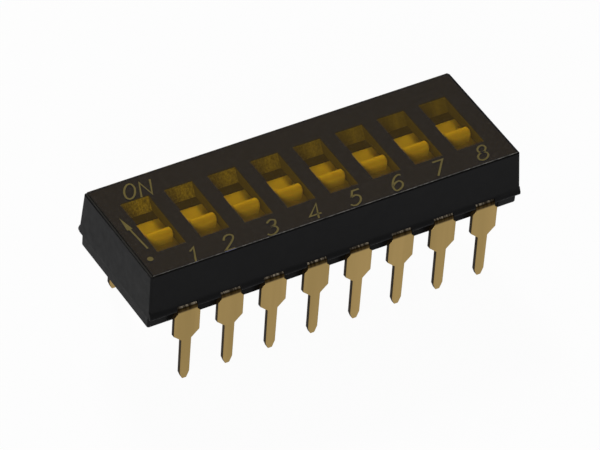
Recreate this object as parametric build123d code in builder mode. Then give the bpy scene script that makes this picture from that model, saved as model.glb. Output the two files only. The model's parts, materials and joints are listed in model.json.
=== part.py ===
from build123d import *
import os

# Dual in-line slide switch: sliders under a taped cover, on two rows of bent terminals.
# Lengths are in millimetres. X runs along the row of poles, Y points from OFF to ON,
# Z is up, and the origin is under the middle of the switch, level with the terminal tips.

# Pole grid
pole_count = 8
pole_pitch = 2.54
row_pitch = 7.62

# Heights, stacked from the terminal tips
base_standoff = 4.00
base_foot_height = 0.80
cover_height = 2.68
tape_thickness = 0.07

# Cover
end_margin = 2.065
roof_side_inset = 0.20
roof_thickness = 0.68
end_wall = 1.17
wall_seat = 0.80
end_draft_share = 0.045
side_draft_share = 0.08
corner_radius = 0.12
roof_edge_chamfer = 0.04
bead_height = 0.42
bead_band = 0.16
bead_proud = 0.09
skirt_corner_radius = 0.14
skirt_end_radius = 0.12
skirt_step = 0.06
skirt_proud = 0.04
window_width = 1.63
window_length = 3.98
window_end_slope = 0.50

# Base
base_side_inset = 0.27
base_edge_chamfer = 0.04

# Terminals
strip_thickness = 0.25
strip_width = 1.13
bend_radius = 0.05
neck_length = 0.10
shoulder_width = 1.51
shoulder_flare = 0.19
shoulder_bottom = 3.16
shoulder_chamfer = 0.42
shoulder_radius = 0.12
prong_root_radius = 0.10
prong_width = 0.57
prong_tip_width = 0.30
prong_tip_flat = 0.16
prong_taper_length = 0.42
prong_tip_rise = 0.06
near_pad_overreach = 0.20
pad_gap = 0.35

# Sliders
travel = 1.20
carriage_width = 1.90
carriage_length = 3.27
plate_thickness = 0.55
nub_width = 1.50
nub_thickness = 0.64
nub_recess = 0.08
nub_end_chamfer = 0.08
pocket_wall = 0.36

# Spring contacts
contact_thickness = 0.10
contact_width = 0.80
contact_crown_width = 0.50
contact_foot_spread = 1.20
contact_tail_rise = 0.22
contact_bend_radius = 0.10

# Fits
fit_clearance = 0.02
slide_clearance = 0.05
roof_gap = 0.11
deck_gap = 0.05
stop_gap = 0.03
tape_side_inset = 0.02
tape_end_inset = 0.15
overrun = 1.0

# Places worked out from the sizes above
pole_span = (pole_count - 1) * pole_pitch
pole_places = [index * pole_pitch - pole_span / 2 for index in range(pole_count)]

base_bottom = base_standoff
ledge = base_bottom + base_foot_height
deck_top = ledge + strip_thickness
roof_top = ledge + cover_height
roof_underside = roof_top - roof_thickness

roof_length = pole_span + 2 * end_margin
roof_width = row_pitch - 2 * roof_side_inset
wall_height = cover_height - roof_edge_chamfer
cover_length = roof_length + 2 * end_draft_share * wall_height
cover_width = roof_width + 2 * side_draft_share * wall_height
bead_width = cover_width + 2 * bead_proud
bead_length = cover_length - 2 * end_draft_share * bead_height
skirt_height = base_foot_height + skirt_corner_radius

base_length = cover_length - 2 * (end_wall + fit_clearance)
base_width = row_pitch - 2 * base_side_inset
deck_recess_length = base_length + 2 * fit_clearance
deck_recess_width = cover_width - 2 * wall_seat
deck_width = deck_recess_width - 2 * fit_clearance

blade_face = (row_pitch + strip_thickness) / 2
bend_outer_radius = bend_radius + strip_thickness
bend_start = blade_face - bend_outer_radius
bend_end = deck_top - bend_outer_radius
near_pad_end = -near_pad_overreach
far_pad_end = near_pad_overreach + pad_gap

slider_rest = -travel / 2
carriage_bottom = deck_top + deck_gap
carriage_top = roof_underside - roof_gap
pocket_ceiling = carriage_top - plate_thickness
pocket_width = carriage_width - 2 * pocket_wall
pocket_length = carriage_length - 2 * pocket_wall
nub_top = roof_top - nub_recess
channel_width = carriage_width + 2 * slide_clearance
channel_length = carriage_length + travel + 2 * stop_gap

os.makedirs("parts", exist_ok=True)


def save(piece, name):
    """Label a finished piece and write it to its own file."""
    piece.part.label = name
    export_step(piece.part, f"parts/{name}.step")


# Skirt of one end of the cover, with rounded outer edges
with BuildPart() as skirt:
    with BuildSketch(Plane.YZ):
        RectangleRounded(base_width + 2 * skirt_proud, skirt_height, skirt_corner_radius)
    extrude(amount=end_wall - skirt_step)
    fillet(skirt.faces().sort_by(Axis.X)[-1].edges(), radius=skirt_end_radius)


# Cover: drafted shell with a bead along its long walls and a skirt at each end
with BuildPart() as cover:
    with BuildSketch(Plane.XY.offset(ledge)):
        RectangleRounded(cover_length, cover_width, corner_radius)
    with BuildSketch(Plane.XY.offset(roof_top - roof_edge_chamfer)):
        RectangleRounded(roof_length, roof_width, corner_radius)
    with BuildSketch(Plane.XY.offset(roof_top)):
        RectangleRounded(
            roof_length - 2 * roof_edge_chamfer,
            roof_width - 2 * roof_edge_chamfer,
            corner_radius - roof_edge_chamfer,
        )
    loft(ruled=True)

    with BuildSketch(Plane.YZ):
        with BuildLine():
            Polyline(
                (0, ledge),
                (bead_width / 2, ledge),
                (bead_width / 2, ledge + bead_band),
                (cover_width / 2 - side_draft_share * bead_height, ledge + bead_height),
                (0, ledge + bead_height),
                close=True,
            )
        make_face()
        mirror(about=Plane.YZ)
    extrude(amount=bead_length / 2, both=True)

    with Locations((0, 0, base_bottom + skirt_height / 2)):
        with PolarLocations(deck_recess_length / 2, 2):
            add(skirt.part)

    with BuildSketch(Plane.XY.offset(ledge)):
        Rectangle(deck_recess_length, deck_recess_width)
    extrude(amount=strip_thickness + fit_clearance, mode=Mode.SUBTRACT)

    with BuildSketch(Plane.XY.offset(ledge)):
        with GridLocations(pole_pitch, row_pitch, pole_count, 1):
            Rectangle(channel_width, channel_length)
    extrude(amount=cover_height - roof_thickness, mode=Mode.SUBTRACT)

    with BuildSketch(Plane.XY.offset(ledge)):
        with GridLocations(pole_pitch, (deck_recess_width + bead_width) / 2, pole_count, 2):
            Rectangle(strip_width + 2 * fit_clearance, bead_width / 2 - deck_recess_width / 2 + overrun)
    extrude(amount=strip_thickness + fit_clearance, mode=Mode.SUBTRACT)

    for place in pole_places:
        with BuildSketch(Plane.YZ.offset(place)):
            with BuildLine():
                Polyline(
                    (window_length / 2, roof_top),
                    (window_length / 2 - window_end_slope, roof_underside),
                    (window_end_slope - window_length / 2, roof_underside),
                    (-window_length / 2, roof_top),
                    close=True,
                )
            make_face()
        extrude(amount=window_width / 2, both=True, mode=Mode.SUBTRACT)
save(cover, "cover")


# Base: foot under the cover, and a deck whose grooves hold the contact strips
with BuildPart() as base:
    with BuildSketch(Plane.XY.offset(base_bottom)):
        Rectangle(base_length, base_width)
    extrude(amount=base_foot_height)
    chamfer(base.faces().sort_by(Axis.Z)[0].edges(), length=base_edge_chamfer)

    with BuildSketch(Plane.XY.offset(ledge)):
        Rectangle(base_length, deck_width)
        for place in pole_places:
            for side, pad_end in ((-1, near_pad_end), (1, far_pad_end)):
                groove_inner = pad_end - fit_clearance
                groove_length = deck_width / 2 - groove_inner
                with Locations((place, side * (groove_inner + groove_length / 2))):
                    Rectangle(strip_width + 2 * fit_clearance, groove_length, mode=Mode.SUBTRACT)
    extrude(amount=strip_thickness)
save(base, "base")


# Tape: thin film over the roof, cut level with the long edges
with BuildPart() as tape_seal:
    with BuildSketch(Plane.XY.offset(roof_top)):
        Rectangle(roof_length - 2 * tape_end_inset, roof_width - 2 * (roof_edge_chamfer + tape_side_inset))
    extrude(amount=tape_thickness)
save(tape_seal, "tape_seal")


def make_terminal(name, place, side, pad_end):
    """Stamped strip: contact pad on the base, bend, shouldered blade and tapered prong."""
    outward = Plane(origin=(place, 0, 0), x_dir=(side, 0, 0), z_dir=(0, 0, 1))
    section = Plane(origin=(place, 0, 0), x_dir=(0, side, 0), z_dir=(side, 0, 0))
    face = Plane(origin=(place, side * blade_face, 0), x_dir=(-side, 0, 0), z_dir=(0, side, 0))

    with BuildPart() as terminal:
        with BuildSketch(outward.offset(ledge)):
            with Locations((0, (pad_end + bend_start) / 2)):
                Rectangle(strip_width, bend_start - pad_end)
        extrude(amount=strip_thickness)

        with BuildSketch(section):
            with BuildLine():
                outer = CenterArc((bend_start, bend_end), bend_outer_radius, 0, 90)
                inner = CenterArc((bend_start, bend_end), bend_radius, 0, 90)
                Line(outer @ 0, inner @ 0)
                Line(outer @ 1, inner @ 1)
            make_face()
        extrude(amount=strip_width / 2, both=True)

        neck_bottom = bend_end - neck_length
        with BuildSketch(face) as blade:
            with BuildLine():
                Polyline(
                    (0, bend_end),
                    (strip_width / 2, bend_end),
                    (strip_width / 2, neck_bottom),
                    (shoulder_width / 2, neck_bottom - shoulder_flare),
                    (shoulder_width / 2, shoulder_bottom),
                    (prong_width / 2, shoulder_bottom - shoulder_chamfer),
                    (prong_width / 2, prong_taper_length),
                    (prong_tip_width / 2, prong_tip_rise),
                    (prong_tip_flat / 2, 0),
                    (0, 0),
                )
                mirror(about=Plane.YZ)
            make_face()
            corners = blade.vertices().group_by(Axis.Y)
            fillet(corners[3], radius=prong_root_radius)
            fillet(corners[5], radius=shoulder_radius)
        extrude(amount=-strip_thickness)
    save(terminal, name)


# Terminals are numbered round the switch: along the near row, then back along the far row
for index, place in enumerate(pole_places):
    make_terminal(f"terminal_{index + 1}", place, -1, near_pad_end)
    make_terminal(f"terminal_{2 * pole_count - index}", place, 1, far_pad_end)


def make_slider(name, place):
    """Slider: a carriage with a pocket under it and a rounded nub on top."""
    with BuildPart() as slider:
        with BuildSketch(Plane.XY.offset(carriage_bottom)):
            with Locations((place, slider_rest)):
                Rectangle(carriage_width, carriage_length)
        extrude(amount=carriage_top - carriage_bottom)

        with BuildSketch(Plane.YZ.offset(place)):
            with Locations((slider_rest, (pocket_ceiling + nub_top) / 2)):
                SlotOverall(nub_top - pocket_ceiling, nub_thickness, rotation=90)
        extrude(amount=nub_width / 2, both=True)

        with BuildSketch(Plane.XY.offset(carriage_bottom)):
            with Locations((place, slider_rest)):
                Rectangle(pocket_width, pocket_length)
        extrude(amount=pocket_ceiling - carriage_bottom, mode=Mode.SUBTRACT)

        nub_ends = slider.edges().filter_by(GeomType.CIRCLE).group_by(Axis.Z)[-1]
        chamfer(nub_ends, length=nub_end_chamfer)
    save(slider, name)


def make_moving_contact(name, place):
    """Spring strip: a crown under the slider's plate, two feet on the pads and two raised tails."""
    crown = pocket_ceiling - fit_clearance - contact_thickness / 2
    foot = deck_top + fit_clearance + contact_thickness / 2
    tail = pocket_length / 2 - fit_clearance - contact_thickness
    half_route = [
        (contact_crown_width / 2, crown),
        (contact_foot_spread / 2, foot),
        (tail, foot + contact_tail_rise),
    ]
    route = [(-across, height) for across, height in reversed(half_route)] + half_route
    route = [(across + slider_rest, height) for across, height in route]

    with BuildPart() as moving_contact:
        with BuildLine(Plane.YZ.offset(place)) as strip:
            FilletPolyline(*route, radius=contact_bend_radius)
        with BuildSketch(Plane(origin=strip.line @ 0, x_dir=(1, 0, 0), z_dir=strip.line % 0)):
            Rectangle(contact_width, contact_thickness)
        sweep()
    save(moving_contact, name)


for index, place in enumerate(pole_places):
    make_slider(f"slider_{index + 1}", place)
    make_moving_contact(f"moving_contact_{index + 1}", place)
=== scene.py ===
import json
import math

import bmesh
import bpy
from mathutils import Matrix, Vector
from mathutils.geometry import interpolate_bezier


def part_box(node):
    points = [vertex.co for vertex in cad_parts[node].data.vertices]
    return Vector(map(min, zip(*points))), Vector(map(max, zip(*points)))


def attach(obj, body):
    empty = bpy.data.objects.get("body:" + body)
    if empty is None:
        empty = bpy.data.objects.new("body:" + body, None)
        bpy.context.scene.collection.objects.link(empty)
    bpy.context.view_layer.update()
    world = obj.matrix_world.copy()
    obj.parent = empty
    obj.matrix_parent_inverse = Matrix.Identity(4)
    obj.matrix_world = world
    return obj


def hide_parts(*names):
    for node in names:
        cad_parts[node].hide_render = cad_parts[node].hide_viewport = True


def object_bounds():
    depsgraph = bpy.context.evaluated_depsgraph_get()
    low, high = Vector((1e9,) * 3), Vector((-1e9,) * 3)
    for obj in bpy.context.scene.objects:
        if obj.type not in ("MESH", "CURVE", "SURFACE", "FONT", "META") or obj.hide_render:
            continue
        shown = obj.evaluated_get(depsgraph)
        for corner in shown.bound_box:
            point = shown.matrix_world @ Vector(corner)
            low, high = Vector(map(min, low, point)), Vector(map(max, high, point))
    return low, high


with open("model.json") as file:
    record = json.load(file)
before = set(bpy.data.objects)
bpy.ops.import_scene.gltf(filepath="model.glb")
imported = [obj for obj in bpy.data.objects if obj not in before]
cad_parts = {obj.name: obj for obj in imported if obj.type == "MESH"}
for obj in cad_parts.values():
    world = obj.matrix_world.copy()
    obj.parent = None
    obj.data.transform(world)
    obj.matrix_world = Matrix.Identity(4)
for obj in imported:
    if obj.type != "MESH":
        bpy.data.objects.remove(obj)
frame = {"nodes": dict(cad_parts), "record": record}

# Dual in-line slide switch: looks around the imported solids.
# Lengths are metres, and MM turns millimetres into them.

MM = 0.001
cad_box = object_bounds()
record = frame["record"]
node_body = {node: body for body, nodes in record["behaviour"]["bodies"].items() for node in nodes}

cover_low, cover_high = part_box("cover")
tape_low, tape_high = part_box("tape_seal")

POLES = range(1, 9)
TERMINALS = range(1, 17)
HOUSING = "housing"

# Camera, fitted to the photograph's terminals and edges
CAMERA_AZIMUTH = math.radians(-32.73)
CAMERA_ELEVATION = math.radians(41.62)
CAMERA_ROLL = math.radians(4.32)
CAMERA_DISTANCE = 260.3 * MM
CAMERA_LENS = 299.5
CAMERA_AIM = Vector((0, 0, 3.873 * MM))
CAMERA_SENSOR = 36
CAMERA_CLIP = 1 * MM

# Softened edges
MERGE_DISTANCE = 0.0005 * MM
FLAT_ANGLE = math.radians(1)
EDGE_ANGLE = math.radians(28)
SHORT_EDGE = 0.12 * MM
COVER_EDGE = 0.035 * MM
BASE_EDGE = 0.03 * MM
TERMINAL_EDGE = 0.025 * MM
SLIDER_EDGE = 0.04 * MM
CONTACT_EDGE = 0.012 * MM
EDGE_SEGMENTS = 2

# Strip bend of the terminals, as heights above the floor: a painted highlight line at its top and a painted
# shade band below
BEND_TOP = 4.98 * MM
BEND_HIGHLIGHT = 4.93 * MM
BEND_PAINTED_SHADE = 4.77 * MM
BEND_FOOT = 4.66 * MM

# Windows in the roof, whose sloped ends are coarse at the first X and smooth at the second, with a painted
# reflection brightest at the first
WINDOW_WIDTH = 1.63 * MM
WINDOW_LENGTH = 3.98 * MM
WINDOW_DEPTH = 0.70 * MM
WINDOW_END_MARGIN = 1 * MM
LIT_COARSE_SLOPE_X = -9 * MM
DIM_SMOOTH_SLOPE_X = 7 * MM

# Shares of a face's normal that tell the faces of a piece apart
MOSTLY = 0.5
ROOF_UP = 0.95
SLOPE_UP_LOW = 0.3
SLOPE_UP_HIGH = 0.9
SLOPE_ALONG = 0.4
WALL_ASIDE = 0.9

# Film and print over the roof
FILM_LIFT = 0.012 * MM
FILM_TINT = (0.95, 0.82, 0.28, 1)
INK_DEPTH = 0.010 * MM
INK_THICKNESS = 0.003 * MM
STROKE_WIDTH = 0.105 * MM
STROKE_SAMPLES = 7
CURVE_DIVISOR = 6
RING_SIDES = 36
MITRE_LIMIT = 0.45
PRINT_SLANT = 0.40
PRINT_RISE = 0.0157
DIGIT_SIZE = (0.68 * MM, 1.03 * MM)
DIGIT_SHIFT = -0.30 * MM
DIGIT_NUDGES = {5: -0.10 * MM, 6: -0.12 * MM, 7: -0.13 * MM}
DIGIT_BASE = -3.42 * MM
LETTER_SIZE = (0.62 * MM, 1.05 * MM)
LETTER_O_CORNER = (-9.33 * MM, 2.12 * MM)
LETTER_N_CORNER = (-8.47 * MM, 1.98 * MM)
ARROW_TIP = (-10.27 * MM, 1.08 * MM)
ARROW_TAIL = (-10.06 * MM, -1.60 * MM)
ARROW_HEAD_LENGTH = 1.03 * MM
ARROW_HEAD_WIDTH = 0.32 * MM
ARROW_SHAFT_WIDTH = 0.10 * MM
DOT_CENTRE = (-10.32 * MM, -2.35 * MM)
DOT_RADIUS = 0.16 * MM
DOT_SIDES = 28

# Studio: floor, and the room's light in bands of its direction's Y and Z
FLOOR_REACH = 1.5
FLOOR_WHITE = (0.90, 0.90, 0.90, 1)
FLOOR_ROUGHNESS = 0.9
FLOOR_GLOW_SHARE = 0.96
HORIZON_LIGHT = 0.45
UPPER_FRONT_LIGHT = 0.04
UPPER_BACK_LIGHT = 0.45
CEILING_LIGHT = 0.03
FRONT_TO_BACK = (-0.2, 0.6)
HORIZON_BAND = (0.30, 0.40)
CEILING_BAND = (0.69, 0.76)


# Materials

def new_material(name):
    """A material with one Principled node, and its node tree."""
    material = bpy.data.materials.new(name)
    material.use_nodes = True
    return material, material.node_tree, material.node_tree.nodes["Principled BSDF"]


def object_noise(tree, scale, detail, stretch=(1, 1, 1), roughness=0.5):
    """Noise over the piece's own coordinates, with scale in cells per metre."""
    place = tree.nodes.new("ShaderNodeTexCoord")
    mapping = tree.nodes.new("ShaderNodeMapping")
    mapping.inputs["Scale"].default_value = stretch
    noise = tree.nodes.new("ShaderNodeTexNoise")
    noise.inputs["Scale"].default_value = scale
    noise.inputs["Detail"].default_value = detail
    noise.inputs["Roughness"].default_value = roughness
    tree.links.new(place.outputs["Object"], mapping.inputs["Vector"])
    tree.links.new(mapping.outputs["Vector"], noise.inputs["Vector"])
    return noise.outputs["Fac"]


def object_axis(tree, axis):
    """The piece's own coordinate along one axis, such as its height for Z."""
    place = tree.nodes.new("ShaderNodeTexCoord")
    parts = tree.nodes.new("ShaderNodeSeparateXYZ")
    tree.links.new(place.outputs["Object"], parts.inputs["Vector"])
    return parts.outputs[axis]


def spread(tree, source, low, high, start=0.3, end=0.7):
    """A number that goes from low to high as source rises from start to end."""
    node = tree.nodes.new("ShaderNodeMapRange")
    node.inputs["From Min"].default_value = start
    node.inputs["From Max"].default_value = end
    node.inputs["To Min"].default_value = low
    node.inputs["To Max"].default_value = high
    tree.links.new(source, node.inputs["Value"])
    return node.outputs["Result"]


def ramp(tree, source, low, high, start=0.3, end=0.7):
    """A colour that goes from low to high as source rises from start to end."""
    node = tree.nodes.new("ShaderNodeValToRGB")
    node.color_ramp.elements[0].position = start
    node.color_ramp.elements[1].position = end
    node.color_ramp.elements[0].color = (*low, 1)
    node.color_ramp.elements[1].color = (*high, 1)
    tree.links.new(source, node.inputs["Fac"])
    return node.outputs["Color"]


def blend_colour(tree, share, first, second):
    """first where share is 0 and second where it is 1."""
    node = tree.nodes.new("ShaderNodeMix")
    node.data_type = "RGBA"
    tree.links.new(share, node.inputs["Factor"])
    tree.links.new(first, node.inputs["A"])
    tree.links.new(second, node.inputs["B"])
    return node.outputs["Result"]


def bump(tree, shader, source, height, strength):
    """Surface relief of that height from source."""
    node = tree.nodes.new("ShaderNodeBump")
    node.inputs["Distance"].default_value = height
    node.inputs["Strength"].default_value = strength
    tree.links.new(source, node.inputs["Height"])
    tree.links.new(node.outputs["Normal"], shader.inputs["Normal"])


def paint(tree, shader, colour):
    """Give the surface its colour."""
    tree.links.new(colour, shader.inputs["Base Color"])


def uneven_gloss(tree, shader, source, low, high):
    """Roughness that goes from low to high with source."""
    tree.links.new(spread(tree, source, low, high), shader.inputs["Roughness"])


def flow_clouds(tree):
    """Faint clouds that the plastic's flow leaves along the part."""
    return object_noise(tree, scale=450, detail=5, stretch=(0.4, 1, 1), roughness=0.6)


def grain_relief(tree, shader, height):
    """The fine grain of a moulded surface."""
    bump(tree, shader, object_noise(tree, scale=22000, detail=3), height, strength=0.35)


def layer_shaders(tree, under, over):
    """Lay one shader over another as the material's surface. The socket takes the upper one's share."""
    layers = tree.nodes.new("ShaderNodeMixShader")
    tree.links.new(under, layers.inputs[1])
    tree.links.new(over, layers.inputs[2])
    tree.links.new(layers.outputs["Shader"], tree.nodes["Material Output"].inputs["Surface"])
    return layers.inputs["Fac"]


def moulded_plastic(name, dark, light, rough_low, rough_high, shine, grain_height):
    """Moulded thermoplastic: faint flow clouds in its colour, uneven gloss and a fine grain."""
    material, tree, shader = new_material(name)
    paint(tree, shader, ramp(tree, flow_clouds(tree), dark, light))
    uneven_gloss(tree, shader, object_noise(tree, scale=2600, detail=5), rough_low, rough_high)
    shader.inputs["Specular IOR Level"].default_value = shine
    grain_relief(tree, shader, grain_height)
    return material


def taped_plastic(name):
    """Roof plastic: black under the film, and painted paler on the bare strip beside the film's first end,
    as a painted sheen.
    """
    material, tree, shader = new_material(name)
    clouds = flow_clouds(tree)
    covered = ramp(tree, clouds, (0.0045, 0.0045, 0.0048), (0.0065, 0.0065, 0.0069))
    # The bare strip's paler colour is a painted sheen; its gloss is nearly off.
    bare = ramp(tree, clouds, (0.032, 0.031, 0.028), (0.044, 0.042, 0.038))
    beside = spread(tree, object_axis(tree, "X"), 1, 0, tape_low.x - FILM_LIFT, tape_low.x)
    paint(tree, shader, blend_colour(tree, beside, covered, bare))
    shader.inputs["Roughness"].default_value = 0.55
    shader.inputs["Specular IOR Level"].default_value = 0.015
    return material


def speckled_slope(name):
    """Window ends: granular and painted lighter than the roof as a painted sheen, more so towards the first
    pole, where a painted reflection brightens them.
    """
    material, tree, shader = new_material(name)
    grains = object_noise(tree, scale=9000, detail=3, stretch=(1, 0.8, 0.8), roughness=0.7)
    # The coarse end's pale specks carry a painted reflection as well as grain.
    coarse = ramp(tree, grains, (0.07, 0.08, 0.09), (0.50, 0.53, 0.52), start=0.32, end=0.78)
    smooth = ramp(tree, grains, (0.07, 0.08, 0.10), (0.12, 0.13, 0.16), start=0.28, end=0.75)
    along = spread(tree, object_axis(tree, "X"), 0, 1, LIT_COARSE_SLOPE_X, DIM_SMOOTH_SLOPE_X)
    paint(tree, shader, blend_colour(tree, along, coarse, smooth))
    uneven_gloss(tree, shader, grains, low=0.4, high=0.65)
    shader.inputs["Specular IOR Level"].default_value = 0.2
    bump(tree, shader, grains, height=0.01 * MM, strength=0.4)
    return material


def glowing_plastic(name):
    """Pale moulded plastic that light soaks into, with a faint grain."""
    material, tree, shader = new_material(name)
    clouds = object_noise(tree, scale=700, detail=4)
    paint(tree, shader, ramp(tree, clouds, (0.72, 0.70, 0.62), (0.80, 0.78, 0.70)))
    uneven_gloss(tree, shader, object_noise(tree, scale=2600, detail=5), low=0.32, high=0.48)
    shader.inputs["Subsurface Weight"].default_value = 0.85
    shader.inputs["Subsurface Radius"].default_value = (1, 0.8, 0.5)
    shader.inputs["Subsurface Scale"].default_value = 0.14 * MM
    grain_relief(tree, shader, 0.003 * MM)
    return material


def plated_metal(name, dark, light, rough_low, rough_high, stretch):
    """Plated strip: rolled streaks along the strip in its colour and gloss."""
    material, tree, shader = new_material(name)
    shader.inputs["Metallic"].default_value = 1
    streaks = object_noise(tree, scale=900, detail=6, stretch=stretch)
    gloss = object_noise(tree, scale=3000, detail=4, stretch=stretch)
    scores = object_noise(tree, scale=9000, detail=4, stretch=stretch)
    paint(tree, shader, ramp(tree, streaks, dark, light))
    uneven_gloss(tree, shader, gloss, rough_low, rough_high)
    bump(tree, shader, scores, height=0.004 * MM, strength=0.3)
    return material


def bent_strip(name):
    """Plated strip whose bend carries painted shade, a dark brown reflection in streaks, with a painted
    highlight line along its top.
    """
    stretch = (1, 0.08, 0.08)
    material, tree, shader = new_material(name)
    height = object_axis(tree, "Z")
    tree.links.new(spread(tree, height, 1, 0.2, BEND_HIGHLIGHT, BEND_TOP), shader.inputs["Metallic"])
    streaks = object_noise(tree, scale=900, detail=6, stretch=stretch)
    gloss = object_noise(tree, scale=3000, detail=4, stretch=stretch)
    scores = object_noise(tree, scale=9000, detail=4, stretch=stretch, roughness=0.6)
    plating = ramp(tree, streaks, (0.310, 0.212, 0.073), (0.365, 0.248, 0.088))
    # Painted shade: the bend's dark reflection, painted dark brown in streaks.
    painted_shade = ramp(tree, scores, (0.018, 0.010, 0.003), (0.070, 0.044, 0.014), start=0.35, end=0.70)
    # Painted highlight: pale specks along the bend's top, where the metal is turned down.
    shine = ramp(tree, scores, (0.05, 0.038, 0.025), (0.50, 0.42, 0.31), start=0.44, end=0.62)
    surface = blend_colour(tree, spread(tree, height, 0, 1, BEND_FOOT, BEND_PAINTED_SHADE), plating, painted_shade)
    surface = blend_colour(tree, spread(tree, height, 0, 1, BEND_HIGHLIGHT, BEND_TOP), surface, shine)
    paint(tree, shader, surface)
    uneven_gloss(tree, shader, gloss, low=0.30, high=0.42)
    bump(tree, shader, scores, height=0.004 * MM, strength=0.3)
    return material


def amber_film(name, faint, dusty_painted_light, cover_share):
    """Amber film: tints what lies under it, and its own haze and gloss cover a share of that; the haze
    colour is painted light, with dust specks in it.
    """
    material, tree, haze = new_material(name)
    dust = object_noise(tree, scale=5200, detail=2, roughness=0.4)
    paint(tree, haze, ramp(tree, dust, faint, dusty_painted_light, start=0.45, end=0.75))
    uneven_gloss(tree, haze, object_noise(tree, scale=800, detail=4), low=0.06, high=0.10)
    haze.inputs["Specular IOR Level"].default_value = 0.05
    bump(tree, haze, object_noise(tree, scale=700, detail=3), height=0.002 * MM, strength=0.2)
    tint = tree.nodes.new("ShaderNodeBsdfTransparent")
    tint.inputs["Color"].default_value = FILM_TINT
    layer_shaders(tree, tint.outputs["BSDF"], haze.outputs["BSDF"]).default_value = cover_share
    return material


def cut_film(name, dark, light):
    """The film's slit edge, broken by specks."""
    material, tree, shader = new_material(name)
    specks = object_noise(tree, scale=3800, detail=4, stretch=(1, 1, 0.3), roughness=0.7)
    paint(tree, shader, ramp(tree, specks, dark, light, start=0.44, end=0.70))
    uneven_gloss(tree, shader, specks, low=0.3, high=0.5)
    return material


black_moulding = moulded_plastic(
    "black_moulding", dark=(0.0050, 0.0050, 0.0053), light=(0.0064, 0.0064, 0.0068),
    rough_low=0.46, rough_high=0.54, shine=0.07, grain_height=0.004 * MM,
)
taped_roof = taped_plastic("taped_roof")
base_moulding = moulded_plastic(
    "base_moulding", dark=(0.0025, 0.0025, 0.0028), light=(0.0045, 0.0045, 0.0048),
    rough_low=0.28, rough_high=0.42, shine=0.04, grain_height=0.003 * MM,
)
# Window side walls: the black plastic painted paler and bluer, as painted reflected light.
lit_window_wall = moulded_plastic(
    "lit_window_wall", dark=(0.046, 0.052, 0.070), light=(0.058, 0.064, 0.086),
    rough_low=0.40, rough_high=0.50, shine=0.4, grain_height=0.003 * MM,
)
window_slope = speckled_slope("window_slope")
slider_moulding = glowing_plastic("slider_moulding")
gold_terminal = bent_strip("gold_terminal")
gold_contact = plated_metal(
    "gold_contact", dark=(0.62, 0.46, 0.20), light=(0.72, 0.54, 0.25),
    rough_low=0.22, rough_high=0.34, stretch=(1, 0.1, 1),
)
sheared_edge = moulded_plastic(
    "sheared_edge", dark=(0.010, 0.006, 0.003), light=(0.035, 0.022, 0.010),
    rough_low=0.5, rough_high=0.6, shine=0.05, grain_height=0.004 * MM,
)
# Stuck film: its pale bluish haze is a painted sheen.
stuck_film = amber_film(
    "stuck_film", faint=(0.165, 0.160, 0.20), dusty_painted_light=(0.215, 0.210, 0.26), cover_share=0.12,
)
# Clear film over the windows: its amber haze is painted amber light in the windows.
clear_film = amber_film(
    "clear_film", faint=(0.40, 0.29, 0.13), dusty_painted_light=(0.49, 0.355, 0.16), cover_share=0.08,
)
# The film's slit edge is painted pale as a painted highlight of the light it catches.
film_edge_highlight = cut_film("film_edge_highlight", dark=(0.015, 0.014, 0.012), light=(0.24, 0.23, 0.21))
film_end = cut_film("film_end", dark=(0.004, 0.004, 0.004), light=(0.03, 0.028, 0.025))
legend_ink = moulded_plastic(
    "legend_ink", dark=(0.15, 0.16, 0.34), light=(0.23, 0.24, 0.50),
    rough_low=0.5, rough_high=0.6, shine=0.2, grain_height=0.001 * MM,
)


# Pieces carried over from the solids

def place_piece(name, mesh, body, materials):
    """Put a mesh in the scene as a piece that rides on a body."""
    piece = bpy.data.objects.new(name, mesh)
    bpy.context.scene.collection.objects.link(piece)
    for material in materials:
        mesh.materials.append(material)
    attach(piece, body)
    return piece


def clean_copy(node):
    """The node's mesh with its flat faces joined, and its outer edges marked for softening."""
    mesh = frame["nodes"][node].data.copy()
    mesh.materials.clear()
    mesh.name = node + "_mesh"
    work = bmesh.new()
    work.from_mesh(mesh)
    bmesh.ops.remove_doubles(work, verts=work.verts, dist=MERGE_DISTANCE)
    bmesh.ops.dissolve_limit(work, angle_limit=FLAT_ANGLE, verts=work.verts, edges=work.edges)
    soft = work.edges.layers.float.new("bevel_weight_edge")
    for edge in work.edges:
        turn = edge.calc_face_angle_signed(0)
        if turn > EDGE_ANGLE and edge.calc_length() > SHORT_EDGE:
            edge[soft] = 1
        elif abs(turn) > EDGE_ANGLE:
            edge.smooth = False
    for face in work.faces:
        face.smooth = True
    work.to_mesh(mesh)
    work.free()
    return mesh


def soften(piece, width):
    """Round the piece's outer edges with a small bevel, and keep its flat faces flat."""
    bevel = piece.modifiers.new("soft_edges", "BEVEL")
    bevel.width = width
    bevel.segments = EDGE_SEGMENTS
    bevel.limit_method = "WEIGHT"
    bevel.use_clamp_overlap = False
    shading = piece.modifiers.new("flat_faces", "WEIGHTED_NORMAL")
    shading.keep_sharp = True


def dressed(node, edge, materials, choose=None):
    """A soft-edged copy of a node that stands for it. choose gives each face's place in materials."""
    mesh = clean_copy(node)
    if choose:
        for face in mesh.polygons:
            face.material_index = choose(face)
    piece = place_piece(node + "_finish", mesh, node_body[node], materials)
    soften(piece, edge)
    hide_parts(node)


pole_places = [(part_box(f"slider_{pole}")[0].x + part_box(f"slider_{pole}")[1].x) / 2 for pole in POLES]


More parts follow.
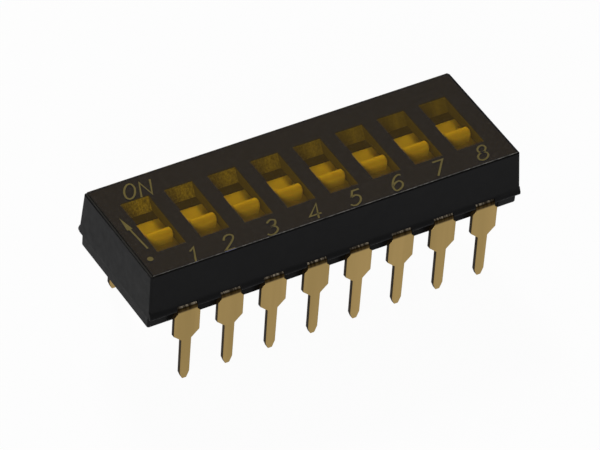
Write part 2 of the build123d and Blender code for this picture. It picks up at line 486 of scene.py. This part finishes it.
def window_face(face):
    """1 for the windows' sloped ends, 2 for their side walls, 3 for the roof and 0 for the rest."""
    if face.normal.z > ROOF_UP and face.center.z > cover_high.z - FILM_LIFT:
        return 3
    along = cover_low.x + WINDOW_END_MARGIN < face.center.x < cover_high.x - WINDOW_END_MARGIN
    across = abs(face.center.y) < WINDOW_LENGTH / 2 + FILM_LIFT
    if not (along and across) or face.center.z < cover_high.z - WINDOW_DEPTH:
        return 0
    if SLOPE_UP_LOW < face.normal.z < SLOPE_UP_HIGH and abs(face.normal.y) > SLOPE_ALONG:
        return 1
    return 2 if abs(face.normal.x) > WALL_ASIDE else 0


def is_sheared(face):
    """1 for the faces that the stamping tool cut, 0 for the strip's two rolled faces."""
    return int(abs(face.normal.x) > MOSTLY)


dressed("cover", COVER_EDGE, [black_moulding, window_slope, lit_window_wall, taped_roof], window_face)
dressed("base", BASE_EDGE, [base_moulding])
for pole in POLES:
    dressed(f"slider_{pole}", SLIDER_EDGE, [slider_moulding])
    dressed(f"moving_contact_{pole}", CONTACT_EDGE, [gold_contact])
for number in TERMINALS:
    dressed(f"terminal_{number}", TERMINAL_EDGE, [gold_terminal, sheared_edge], is_sheared)


# Film over the roof

def cut_across(work, axis, place):
    """Divide the faces of work at one place along an axis."""
    normal = Vector((0, 0, 0))
    normal[axis] = 1
    geometry = work.verts[:] + work.edges[:] + work.faces[:]
    bmesh.ops.bisect_plane(work, geom=geometry, plane_co=normal * place, plane_no=normal)


def film_face(face):
    """0 where the film is stuck down, 1 over the windows, 2 for its slit edges and 3 for its ends."""
    if abs(face.normal.z) < MOSTLY:
        return 3 if abs(face.normal.x) > MOSTLY else 2
    middle = face.calc_center_median()
    nearest = min(pole_places, key=lambda place: abs(place - middle.x))
    return int(abs(middle.x - nearest) < WINDOW_WIDTH / 2 and abs(middle.y) < WINDOW_LENGTH / 2)


def make_film():
    """The film as a thin slab, just clear of the roof and clearer over the windows, with slit edges."""
    mesh = bpy.data.meshes.new("tape_film_mesh")
    work = bmesh.new()
    bmesh.ops.create_cube(work, size=1)
    for corner in work.verts:
        corner.co.x = tape_low.x if corner.co.x < 0 else tape_high.x
        corner.co.y = tape_low.y if corner.co.y < 0 else tape_high.y
        corner.co.z = tape_low.z + FILM_LIFT if corner.co.z < 0 else tape_high.z
    for side in (-1, 1):
        cut_across(work, 1, side * WINDOW_LENGTH / 2)
        for place in pole_places:
            cut_across(work, 0, place + side * WINDOW_WIDTH / 2)
    work.normal_update()
    for face in work.faces:
        face.material_index = film_face(face)
    work.to_mesh(mesh)
    work.free()
    looks = [stuck_film, clear_film, film_edge_highlight, film_end]
    piece = place_piece("tape_film", mesh, HOUSING, looks)
    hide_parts("tape_seal")


make_film()


# Print in the film: points are shares of a glyph's box, and each stroke says how it runs

def ring(middle, reach):
    """Points round an oval with that middle and half width and height."""
    turns = [2 * math.pi * step / RING_SIDES for step in range(RING_SIDES)]
    return [(middle[0] + reach[0] * math.sin(turn), middle[1] + reach[1] * math.cos(turn)) for turn in turns]


DIGIT_STROKES = {
    1: [("straight", [(0.90, 0.80), (1.24, 1), (1.24, 0)])],
    2: [("curve", [(0.05, 0.72), (0.20, 0.95), (0.55, 1), (0.85, 0.85), (0.80, 0.60), (0.45, 0.30), (0, 0)]),
        ("straight", [(0, 0), (0.90, 0)])],
    3: [("curve", [(0.10, 0.85), (0.40, 1), (0.80, 0.88), (0.75, 0.62), (0.40, 0.54)]),
        ("curve", [(0.40, 0.54), (0.80, 0.45), (0.90, 0.20), (0.55, 0), (0.20, 0.02), (0, 0.15)])],
    4: [("straight", [(0.70, 0), (0.70, 1), (0, 0.30), (1, 0.30)])],
    5: [("straight", [(0.90, 1), (0.30, 1), (0.15, 0.58)]),
        ("curve", [(0.15, 0.58), (0.50, 0.66), (0.85, 0.50), (0.85, 0.20), (0.50, 0), (0.15, 0.03),
                   (0, 0.15)])],
    6: [("curve", [(0.90, 0.95), (0.60, 1), (0.25, 0.80), (0.05, 0.40), (0.20, 0.05), (0.50, 0),
                   (0.85, 0.15), (0.90, 0.40), (0.65, 0.58), (0.30, 0.52), (0.08, 0.35)])],
    7: [("straight", [(0.05, 1), (0.95, 1), (0.30, 0)])],
    8: [("ring", ring((0.50, 0.765), (0.36, 0.235))), ("ring", ring((0.50, 0.265), (0.45, 0.265)))],
}
LETTER_O_STROKES = [("ring", ring((0.50, 0.50), (0.50, 0.50)))]
LETTER_N_STROKES = [("straight", [(0, 0), (0, 1), (1, 0), (1, 1)])]
INK_TOP = tape_high.z - INK_DEPTH


def smooth_path(points):
    """Points along a smooth line through the given ones."""
    near = [points[0]] + points + [points[-1]]
    path = []
    for before, start, end, after in zip(near, near[1:], near[2:], near[3:]):
        leaving = start + (end - before) / CURVE_DIVISOR
        arriving = end - (after - start) / CURVE_DIVISOR
        path += interpolate_bezier(start, leaving, arriving, end, STROKE_SAMPLES)[:-1]
    return path + [points[-1]]


def add_ribbon(work, path, closed, width):
    """A flat strip along a path, with pointed corners."""
    rails = []
    for index, point in enumerate(path):
        onward = path[(index + 1) % len(path)] - point
        inward = point - path[index - 1]
        if not closed and index == 0:
            inward = onward
        if not closed and index == len(path) - 1:
            onward = inward
        along = (inward.normalized() + onward.normalized()).normalized()
        reach = width / 2 / max(along.dot(onward.normalized()), MITRE_LIMIT)
        side = Vector((-along.y, along.x, 0)) * reach
        rails.append((work.verts.new(point + side), work.verts.new(point - side)))
    if closed:
        rails.append(rails[0])
    for (left, right), (next_left, next_right) in zip(rails, rails[1:]):
        work.faces.new((left, right, next_right, next_left))


def place_print(name, work):
    """A printed mark of ink, as thick as the ink, from the flat faces drawn for it."""
    mesh = bpy.data.meshes.new(name + "_mesh")
    work.to_mesh(mesh)
    work.free()
    piece = place_piece(name, mesh, HOUSING, [legend_ink])
    body = piece.modifiers.new("ink_body", "SOLIDIFY")
    body.thickness = INK_THICKNESS
    body.offset = -1


def print_glyph(name, strokes, corner, size):
    """A slanted letter or digit whose box has that lower left corner and size."""
    work = bmesh.new()
    for run, shares in strokes:
        points = []
        for across, up in shares:
            x = corner[0] + across * size[0] + up * size[1] * PRINT_SLANT
            points.append(Vector((x, corner[1] + up * size[1], INK_TOP)))
        path = smooth_path(points) if run == "curve" else points
        add_ribbon(work, path, run == "ring", STROKE_WIDTH)
    place_print(name, work)


def print_arrow():
    """The arrow that points the way to ON."""
    tip = Vector((*ARROW_TIP, INK_TOP))
    tail = Vector((*ARROW_TAIL, INK_TOP))
    along = (tip - tail).normalized()
    side = Vector((-along.y, along.x, 0)) * ARROW_HEAD_WIDTH / 2
    neck = tip - along * ARROW_HEAD_LENGTH
    work = bmesh.new()
    work.faces.new([work.verts.new(point) for point in (tip, neck + side, neck - side)])
    add_ribbon(work, [tail, neck], False, ARROW_SHAFT_WIDTH)
    place_print("legend_arrow", work)


def print_dot():
    """The dot that marks the first pole's end."""
    work = bmesh.new()
    place = Matrix.Translation((*DOT_CENTRE, INK_TOP))
    bmesh.ops.create_circle(work, cap_ends=True, radius=DOT_RADIUS, segments=DOT_SIDES, matrix=place)
    place_print("legend_dot", work)


for pole, place in zip(POLES, pole_places):
    digit_x = place + DIGIT_SHIFT + DIGIT_NUDGES.get(pole, 0)
    digit_corner = (digit_x, DIGIT_BASE + PRINT_RISE * digit_x)
    print_glyph(f"legend_digit_{pole}", DIGIT_STROKES[pole], digit_corner, DIGIT_SIZE)
print_glyph("legend_letter_O", LETTER_O_STROKES, LETTER_O_CORNER, LETTER_SIZE)
print_glyph("legend_letter_N", LETTER_N_STROKES, LETTER_N_CORNER, LETTER_SIZE)
print_arrow()
print_dot()


# Studio

def larger(tree, first, second):
    """The larger of two numbers."""
    node = tree.nodes.new("ShaderNodeMath")
    node.operation = "MAXIMUM"
    tree.links.new(first, node.inputs[0])
    tree.links.new(second, node.inputs[1])
    return node.outputs["Value"]


def make_floor():
    """White floor that keeps a soft shadow and shows white in reflections."""
    mesh = bpy.data.meshes.new("floor_mesh")
    corners = [(x * FLOOR_REACH, y * FLOOR_REACH, 0) for x, y in ((-1, -1), (1, -1), (1, 1), (-1, 1))]
    mesh.from_pydata(corners, [], [(0, 1, 2, 3)])
    floor = bpy.data.objects.new("floor", mesh)
    bpy.context.scene.collection.objects.link(floor)
    floor.location.z = cad_box[0][2]
    material, tree, shader = new_material("floor_white")
    shader.inputs["Base Color"].default_value = FLOOR_WHITE
    shader.inputs["Roughness"].default_value = FLOOR_ROUGHNESS
    shader.inputs["Specular IOR Level"].default_value = 0
    glow = tree.nodes.new("ShaderNodeEmission")
    rays = tree.nodes.new("ShaderNodeLightPath").outputs
    mirrored = larger(tree, rays["Is Glossy Ray"], rays["Is Transmission Ray"])
    share = tree.nodes.new("ShaderNodeMath")
    share.operation = "MULTIPLY"
    share.inputs[1].default_value = FLOOR_GLOW_SHARE
    tree.links.new(larger(tree, rays["Is Camera Ray"], mirrored), share.inputs[0])
    glow_share = layer_shaders(tree, shader.outputs["BSDF"], glow.outputs["Emission"])
    tree.links.new(share.outputs["Value"], glow_share)
    mesh.materials.append(material)


def make_world():
    """A pale room: bright low walls, a paler back than front above them and a dim ceiling."""
    world = bpy.data.worlds.new("studio")
    bpy.context.scene.world = world
    world.use_nodes = True
    tree = world.node_tree
    place = tree.nodes.new("ShaderNodeTexCoord")
    parts = tree.nodes.new("ShaderNodeSeparateXYZ")
    tree.links.new(place.outputs["Generated"], parts.inputs["Vector"])
    upper = spread(tree, parts.outputs["Y"], UPPER_FRONT_LIGHT, UPPER_BACK_LIGHT, *FRONT_TO_BACK)
    walls = tree.nodes.new("ShaderNodeMix")
    walls.inputs["A"].default_value = HORIZON_LIGHT
    tree.links.new(spread(tree, parts.outputs["Z"], 0, 1, *HORIZON_BAND), walls.inputs["Factor"])
    tree.links.new(upper, walls.inputs["B"])
    strength = tree.nodes.new("ShaderNodeMix")
    strength.inputs["B"].default_value = CEILING_LIGHT
    tree.links.new(spread(tree, parts.outputs["Z"], 0, 1, *CEILING_BAND), strength.inputs["Factor"])
    tree.links.new(walls.outputs["Result"], strength.inputs["A"])
    sky = tree.nodes["Background"]
    sky.inputs["Color"].default_value = (1, 1, 1, 1)
    tree.links.new(strength.outputs["Result"], sky.inputs["Strength"])


def direction(azimuth, elevation):
    """The way out from the part, with azimuth from its front and elevation from level, in radians."""
    level = math.cos(elevation)
    return Vector((math.sin(azimuth) * level, -math.cos(azimuth) * level, math.sin(elevation)))


def add_softbox(name, azimuth, elevation, distance, size, power):
    """A square softbox that faces the part from that direction, in degrees."""
    lamp = bpy.data.lights.new(name, "AREA")
    lamp.shape = "SQUARE"
    lamp.size = size
    lamp.energy = power
    box = bpy.data.objects.new(name, lamp)
    bpy.context.scene.collection.objects.link(box)
    away = direction(math.radians(azimuth), math.radians(elevation))
    box.location = CAMERA_AIM + away * distance
    box.rotation_euler = away.to_track_quat("Z", "Y").to_euler()


def make_camera():
    """The photograph's camera, with its slight roll."""
    away = direction(CAMERA_AZIMUTH, CAMERA_ELEVATION)
    level = Vector((math.cos(CAMERA_AZIMUTH), math.sin(CAMERA_AZIMUTH), 0))
    above = away.cross(level)
    right = level * math.cos(CAMERA_ROLL) + above * math.sin(CAMERA_ROLL)
    up = above * math.cos(CAMERA_ROLL) - level * math.sin(CAMERA_ROLL)
    turn = Matrix((right, up, away)).transposed().to_4x4()
    lens = bpy.data.cameras.new("camera")
    lens.lens = CAMERA_LENS
    lens.sensor_width = CAMERA_SENSOR
    lens.clip_start = CAMERA_CLIP
    camera = bpy.data.objects.new("camera", lens)
    bpy.context.scene.collection.objects.link(camera)
    camera.matrix_world = Matrix.Translation(CAMERA_AIM + away * CAMERA_DISTANCE) @ turn
    bpy.context.scene.camera = camera


make_floor()
make_world()
add_softbox("key_softbox", azimuth=166, elevation=38.5, distance=0.4, size=0.09, power=0.74)
add_softbox("front_softbox", azimuth=-36, elevation=26, distance=0.5, size=0.16, power=1.05)
make_camera()
bpy.context.scene.view_settings.view_transform = "Standard"
